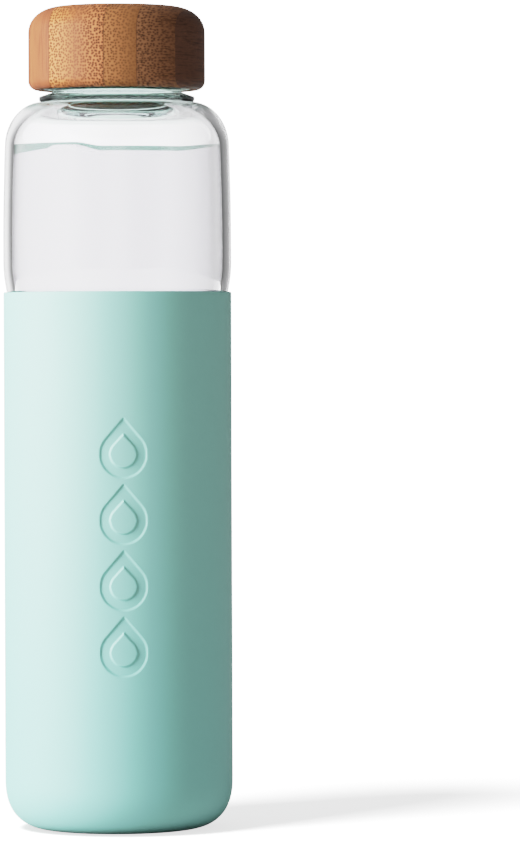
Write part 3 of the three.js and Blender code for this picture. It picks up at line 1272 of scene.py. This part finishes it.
@dataclass
class Cap:
    """The bamboo cap's strips, its threaded insert and its seal."""

    sizes: BottleSizes
    wall: float = 4.4 * MM
    top_wall: float = 7 * MM
    crown: float = 0.4 * MM
    edge_width: float = 11.6 * MM
    edge_height: float = 9.1 * MM
    edge_exponent: float = 2.2
    foot_round: float = 3 * MM
    recess_rounds: Point = (0.8 * MM, 0.25 * MM)
    strip_width: float = 10 * MM
    glue_line: float = 0.03 * MM
    grain_turn: float = math.radians(-21)
    dot_tone: float = 0.24
    seed_step: float = 0.37
    insert_wall: float = 1.6 * MM
    insert_top: float = 1.2 * MM
    insert_rounds: tuple[float, float, float] = (0.5 * MM, 0.3 * MM, 0.6 * MM)
    thread_clearance: float = 0.4 * MM
    thread_base: float = 2 * MM
    thread_tip: float = 0.8 * MM
    thread_rise: float = 2.4 * MM
    thread_step: float = 0.22 * MM
    seal_thickness: float = 1.8 * MM
    seal_reach: float = 1.5 * MM
    seal_round: float = 0.4 * MM
    segments: int = 192
    insert_segments: int = 160
    seal_segments: int = 128
    plastic: PlasticFinish = PlasticFinish("insert_plastic", (0.80, 0.81, 0.77), (0.74, 0.75, 0.70))
    silicone: SiliconeFinish = SiliconeFinish(
        "seal_silicone", (0.84, 0.84, 0.80), (0.78, 0.78, 0.74), 0.5
    )

    @property
    def bore(self) -> float:
        """Radius of the insert's bore, at the foot of its thread."""
        return self.sizes.neck_radius + self.sizes.thread_depth + self.thread_clearance

    @property
    def recess_radius(self) -> float:
        """Radius of the hollow turned out of the bamboo."""
        return self.bore + self.insert_wall + self.sizes.fit_gap

    @property
    def radius(self) -> float:
        """Outer radius of the cap."""
        return self.recess_radius + self.wall

    @property
    def ceiling(self) -> float:
        """Height of the insert's ceiling."""
        return self.sizes.cap_top - self.top_wall - self.sizes.fit_gap - self.insert_top

    def blank_outline(self) -> list[Point]:
        """Half section of the turned bamboo, from the top of its hollow to its crown.

        Returns:
            The points.
        """
        s = self.sizes
        recess = s.cap_top - self.top_wall
        edge_top = s.cap_top - self.crown
        crown_foot = self.radius - self.edge_width
        foot_middle = self.radius - self.foot_round
        top_round, mouth_round = self.recess_rounds
        hollow = filleted([
            (0.0, recess, 0),
            (self.recess_radius, recess, top_round),
            (self.recess_radius, s.cap_bottom, mouth_round),
            (foot_middle, s.cap_bottom, 0),
        ])
        bend = self.foot_round
        foot = quarter(foot_middle, s.cap_bottom + bend, bend, -bend, steps=10)
        shoulder = quarter(crown_foot, edge_top - self.edge_height, self.edge_width,
                           self.edge_height, steps=26, exponent=self.edge_exponent)
        wall = [(self.radius, z) for z in spaced(foot[-1][1], shoulder[-1][1], 2 * MM)[1:-1]]
        crown = [
            (r, s.cap_top - self.crown * (r / crown_foot) ** 2)
            for r in spaced(crown_foot, 0.0, 2 * MM)[1:]
        ]
        return [*hollow[:-1], *foot, *wall, *shoulder[::-1], *crown]

    def strip(self, number: int, offset: float) -> bpy.types.Object:
        """Saws one strip out of the turned blank.

        Args:
            number: The strip's number, from the left.
            offset: Distance of its middle from the axis, across the fibres.

        Returns:
            The strip.
        """
        name = f"cap_strip_{number}"
        blank = turned(name, self.blank_outline(), around(self.segments))
        mesh = blank.data
        bpy.data.objects.remove(blank)
        saw = bmesh.new()
        saw.from_mesh(mesh)
        across = Vector((math.cos(self.grain_turn), math.sin(self.grain_turn), 0.0))
        half = (self.strip_width - self.glue_line) / 2
        for side in (-1, 1):
            cut = bmesh.ops.bisect_plane(
                saw,
                geom=[*saw.verts, *saw.edges, *saw.faces],
                dist=MERGE,
                plane_co=across * (offset + side * half),
                plane_no=across * side,
                clear_outer=True,
            )
            edges = [e for e in cut["geom_cut"] if isinstance(e, bmesh.types.BMEdge)]
            if edges:
                bmesh.ops.triangle_fill(saw, edges=edges, use_beauty=True)
        return finished(name, mesh, saw, sharp=35.0)

    def strip_finish(self, number: int, offset: float) -> BambooFinish:
        """The look of one strip.

        Args:
            number: The strip's number, from the left.
            offset: Distance of its middle from the axis, across the fibres.

        Returns:
            Its finish.
        """
        # Its tones carry painted shade on the strips to the right.
        strip = STRIP_TONES_AND_SHADE.get(number, STRIP_TONES_AND_SHADE[1])
        return BambooFinish(
            name=f"bamboo_{number}",
            light=strip.light,
            dark=strip.dark,
            dot=tuple(self.dot_tone * c for c in strip.dark),
            pale=strip.pale,
            grain_turn=self.grain_turn,
            offset=offset,
            dot_strength=strip.dots,
            streak_strength=strip.streaks,
            streak_size=strip.streak_size,
            outer_side=strip.outer_side,
            seed=self.seed_step * number,
        )

    def build_strips(self) -> None:
        """Makes the strips of the cap and attaches them."""
        each_side = math.ceil(self.radius / self.strip_width - 0.5)
        for place in range(-each_side, each_side + 1):
            number = place + each_side + 1
            offset = place * self.strip_width
            piece = self.strip(number, offset)
            piece.data.materials.append(self.strip_finish(number, offset).material())
            attach(piece, Rider.CAP, f"bamboo_strip_{number}")

    def insert_outline(self) -> list[Point]:
        """Half section of the insert, from its ceiling down the bore and up its outside.

        Returns:
            The points.
        """
        low, high = self.sizes.cap_bottom + self.sizes.fit_gap, self.ceiling
        top = high + self.insert_top
        outer = self.bore + self.insert_wall
        ceiling_round, mouth_round, top_round = self.insert_rounds
        wall = [(self.bore, z) for z in spaced(high - 0.6 * MM, low + 0.5 * MM, self.thread_step)]
        side = (outer, low + 2 * MM, 0)
        ceiling = filleted([
            (self.bore - 2 * MM, high, 0),
            (self.bore, high, ceiling_round),
            (*wall[0], 0),
        ])
        mouth = filleted([
            (*wall[-1], 0),
            (self.bore, low, mouth_round),
            (outer, low, mouth_round),
            side,
        ])
        crown = filleted([side, (outer, top, top_round), (outer - 3 * MM, top, 0)])
        return [(0.0, high), *ceiling[:-1], *wall, *mouth[1:], *crown[1:], (0.0, top)]

    def insert_thread(self) -> Thread:
        """The insert's thread, which follows half a flank under the glass thread.

        Returns:
            The thread.
        """
        s = self.sizes
        flank = (s.thread_base + self.thread_tip) / 2 + self.thread_clearance
        start = s.cap_bottom + s.fit_gap + self.thread_rise
        first = (start + flank - s.thread_start) / s.thread_pitch
        return Thread(
            wall=self.bore,
            crest=s.neck_radius + self.thread_clearance,
            base=self.thread_base,
            tip=self.thread_tip,
            start=start,
            pitch=s.thread_pitch,
            turns=s.thread_turns,
            first_turn=first,
        )

    def build_insert(self) -> None:
        """Makes the threaded insert and attaches it."""
        thread = self.insert_thread()
        angles = around(self.insert_segments)
        piece = turned("insert_shell", self.insert_outline(), angles, thread.raise_wall)
        piece.data.materials.append(self.plastic.material())
        attach(piece, Rider.CAP, "thread_insert")

    def build_seal(self) -> None:
        """Makes the seal ring and attaches it."""
        s = self.sizes
        inner = s.neck_radius - s.glass_wall - self.seal_reach
        outer = self.bore - self.thread_clearance
        high = self.ceiling - s.fit_gap
        low = high - self.seal_thickness
        edges = [(outer, low), (outer, high), (inner, high), (inner, low)]
        ring = filleted([
            (inner + 2 * MM, low, 0),
            *[(radius, height, self.seal_round) for radius, height in edges],
            (inner + 1 * MM, low, 0),
        ])
        piece = turned("seal_ring_skin", ring, around(self.seal_segments), closed=True)
        piece.data.materials.append(self.silicone.material())
        attach(piece, Rider.SEAL, "seal_ring")

    def build(self) -> None:
        """Makes everything that comes off with the cap."""
        self.build_strips()
        self.build_insert()
        self.build_seal()


# ---- Studio --------------------------------------------------------------------------------------


@dataclass(frozen=True)
class Lamp:
    """One lamp that is aimed at the bottle, placed by its angles left of and above the camera."""

    name: str
    kind: LampKind
    azimuth: float
    elevation: float
    energy: float
    spread: float
    distance: float = 1.0


@dataclass
class Studio:
    """The camera, lamps, floor, surroundings and tone of a plain pale studio."""

    distance: float = 1.671
    eye_height: float = 0.160
    azimuth: float = math.radians(-2.6)
    aim_across: float = 0.04684
    aim_height: float = 0.1319
    lens: float = 213.3
    roll: float = math.radians(-0.186)
    lamp_aim: float = 0.12
    key: Lamp = Lamp("key", LampKind.AREA, 73, 15, 101.0, 1.2, 1.35)
    floor_key: Lamp = Lamp("floor_key", LampKind.SUN, 45, 60, 22.0, math.radians(13))
    floor_fill: Lamp = Lamp("floor_fill", LampKind.SUN, 0, 90, 1.1, math.radians(110))
    backdrop: float = 7.6
    shadow_floor: float = 1.4
    floor_reach: float = 1.5
    floor_white: float = 0.9
    floor_bounce: float = 0.1
    dim: float = 0.42
    # Brightness from the far left (-1) to the far right (1): what the opaque pieces are lit by,
    # as a share of dim, and what shows through the glass, as a share of the backdrop. The glass
    # bends its edges' view far to the side, so the dark card there draws the lines along them.
    around: tuple[Point, ...] = ((-1.0, 1.5), (0.0, 1.0), (0.5, 0.55), (1.0, 0.15))
    behind: tuple[Point, ...] = (
        (-0.8, 0.7), (-0.66, 0.1), (-0.6, 0.02), (-0.49, 0.05), (-0.38, 0.2), (-0.34, 0.36),
        (-0.225, 0.5), (-0.12, 0.68), (0.02, 0.78), (0.045, 0.64), (0.075, 0.66), (0.11, 0.52),
        (0.16, 0.34), (0.225, 0.17), (0.31, 0.06), (0.42, 0.06), (0.5, 0.05), (0.57, 0.035),
        (0.64, 0.01), (0.7, 0.15), (0.82, 0.7),
    )
    white: float = 7.0
    tone: tuple[Point, ...] = (
        (0.3, 0.3), (0.573, 0.491), (1.154, 0.686), (2.12, 0.81), (3.64, 0.885)
    )

    def towards(self, azimuth: float, elevation: float) -> Vector:
        """The direction to a place in the studio.

        Args:
            azimuth: Degrees left of the camera.
            elevation: Degrees above the floor.

        Returns:
            The direction, of length 1.
        """
        turn, rise = self.azimuth - math.radians(azimuth), math.radians(elevation)
        level = math.cos(rise)
        return Vector((math.sin(turn) * level, -math.cos(turn) * level, math.sin(rise)))

    def place_camera(self) -> None:
        """Puts the camera where the bottle is seen level, a little left of its front."""
        data = bpy.data.cameras.new("camera")
        side = Vector((math.cos(self.azimuth), math.sin(self.azimuth), 0.0))
        eye = self.towards(0, 0) * self.distance + Vector((0.0, 0.0, self.eye_height))
        target = side * self.aim_across + Vector((0.0, 0.0, self.aim_height))
        camera = bpy.data.objects.new("camera", data)
        camera.location = eye
        camera.rotation_mode = "QUATERNION"
        look = (target - eye).to_track_quat("-Z", "Y")
        camera.rotation_quaternion = look @ Quaternion((0.0, 0.0, 1.0), self.roll)
        data.lens = self.lens
        data.clip_start = 0.05
        data.clip_end = 100.0
        bpy.context.scene.collection.objects.link(camera)
        bpy.context.scene.camera = camera
        LOG.info("camera at %s", tuple(round(c, 3) for c in eye))

    def hang(self, lamp: Lamp) -> bpy.types.Object:
        """Hangs one lamp.

        Args:
            lamp: The lamp, whose spread is a sun's angle or the side of a square area lamp.

        Returns:
            The lamp's object.
        """
        data = bpy.data.lights.new(lamp.name, lamp.kind.value)
        data.energy = lamp.energy
        if lamp.kind is LampKind.SUN:
            data.angle = lamp.spread
        else:
            data.size = lamp.spread
        hung = bpy.data.objects.new(lamp.name, data)
        place = self.towards(lamp.azimuth, lamp.elevation) * lamp.distance
        aim = place - Vector((0.0, 0.0, self.lamp_aim))
        hung.location = place
        hung.rotation_mode = "QUATERNION"
        hung.rotation_quaternion = aim.to_track_quat("Z", "Y")
        hung.visible_camera = False
        bpy.context.scene.collection.objects.link(hung)
        return hung

    def light(self, floor: bpy.types.Object, clear: Iterable[bpy.types.Object]) -> None:
        """Hangs a broad key at the left, and lamps that only shade the floor.

        Args:
            floor: The floor, which the key leaves alone.
            clear: Clear pieces, which show no reflection of the key.
        """
        only_floor = bpy.data.collections.new("only_floor")
        only_floor.objects.link(floor)
        off_key = bpy.data.collections.new("off_key")
        for piece in (floor, *clear):
            off_key.objects.link(piece)
        for linked in off_key.collection_objects:
            linked.light_linking.link_state = "EXCLUDE"
        key = self.hang(self.key)
        key.visible_transmission = False
        key.light_linking.receiver_collection = off_key
        for lamp in (self.floor_key, self.floor_fill):
            self.hang(lamp).light_linking.receiver_collection = only_floor

    def lay_floor(self) -> bpy.types.Object:
        """Lays the plain pale floor, which bounces little light back.

        Returns:
            The floor.
        """
        mesh = bpy.data.meshes.new("floor")
        reach = self.floor_reach
        edge = [(-reach, -reach, 0), (reach, -reach, 0), (reach, reach, 0), (-reach, reach, 0)]
        mesh.from_pydata(edge, [], [(0, 1, 2, 3)])
        floor = bpy.data.objects.new("floor", mesh)
        shader = Shader("floor_paint")
        seen = shader.node("ShaderNodeLightPath", {}, {}, "Is Camera Ray")
        through = shader.node("ShaderNodeLightPath", {}, {}, "Is Transmission Ray")
        glow = shader.mixed(seen, grey(0.0), grey(self.shadow_floor))
        shader.dress(
            Base_Color=shader.mixed(seen, grey(self.floor_bounce), grey(self.floor_white)),
            Roughness=0.9,
            Specular_IOR_Level=0.0,
            Emission_Color=shader.mixed(through, glow, grey(self.backdrop)),
            Emission_Strength=1.0,
        )
        mesh.materials.append(shader.material)
        bpy.context.scene.collection.objects.link(floor)
        return floor

    def light_world(self) -> None:
        """Surrounds the bottle with white behind the glass and dim card to its sides."""
        world = bpy.data.worlds.new("studio")
        bpy.context.scene.world = world
        world.use_nodes = True
        nodes = Nodes(world.node_tree)
        direction = nodes.node("ShaderNodeTexCoord", {}, {}, "Generated")
        rightwards = nodes.parts(direction)[0] * 0.5 + 0.5
        dim = self.dim / self.backdrop
        cards = []
        for stops, share in ((self.around, dim), (self.behind, 1.0)):
            shades = [((place + 1) / 2, grey(share * shade)) for place, shade in stops]
            cards.append(nodes.node("ShaderNodeValToRGB", {"stops": shades}, {0: rightwards}))
        through = nodes.node("ShaderNodeLightPath", {}, {}, "Is Transmission Ray")
        seen = nodes.node("ShaderNodeLightPath", {}, {}, "Is Camera Ray")
        shown = nodes.mixed(seen, nodes.mixed(through, *cards), grey(1.0))
        light = nodes.node("ShaderNodeBackground", {}, {"Color": shown, "Strength": self.backdrop})
        nodes.end_in("ShaderNodeOutputWorld", light)

    def set_tone(self) -> None:
        """Rolls bright tones off softly, as film does, up to white."""
        view = bpy.context.scene.view_settings
        view.view_transform = "Standard"
        view.use_curve_mapping = True
        mapping = view.curve_mapping
        mapping.white_level = grey(self.white)
        for light, shown in self.tone:
            mapping.curves[3].points.new(light / self.white, shown)
        mapping.update()

    def build(self, clear: Iterable[bpy.types.Object]) -> None:
        """Sets up the whole studio.

        Args:
            clear: The clear pieces, which the key leaves alone.
        """
        self.place_camera()
        self.light(self.lay_floor(), clear)
        self.light_world()
        self.set_tone()


def corners(box: tuple[Vector, Vector]) -> list[list[float]]:
    """A box's two corners as plain numbers."""
    return [[float(c) for c in corner] for corner in box]


def main() -> None:
    """Builds the bottle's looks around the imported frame."""
    logging.basicConfig(level=logging.INFO, format="%(name)s: %(message)s")
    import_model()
    sizes = BottleSizes.from_frame()
    Sleeve(sizes).build()
    clear = GlassBody(sizes).build()
    Cap(sizes).build()
    Studio().build(clear)


if __name__ == "__main__":
    main()
